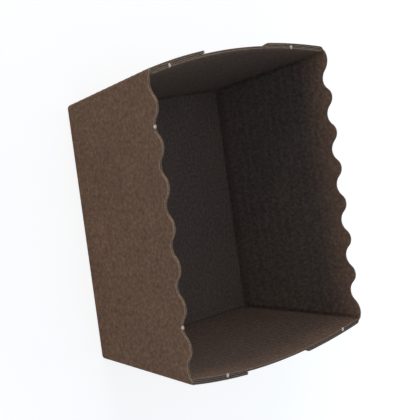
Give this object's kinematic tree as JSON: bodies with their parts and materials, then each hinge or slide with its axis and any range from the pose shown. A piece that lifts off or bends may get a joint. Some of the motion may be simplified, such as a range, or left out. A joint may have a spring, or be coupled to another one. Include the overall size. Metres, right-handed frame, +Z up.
{
  "type": "paper baking mold",
  "caption": "Folded corrugated card baking mold with scalloped side rims, bowed end walls and glued corner flaps, open at the top.",
  "frame": {"origin": "middle of the underside of the base, where the mold stands on the table", "axes": "+Z up out of the open top, X along the two scalloped walls, Y along the two bowed end walls, with the rim of seven bumps on the -Y side"},
  "size_m": [0.0872, 0.0956, 0.0343],
  "materials": {
    "brown_corrugated_card": "matt"
  },
  "bodies": {
    "root": {"folded_mold": "brown_corrugated_card"}
  },
  "joints": []
}
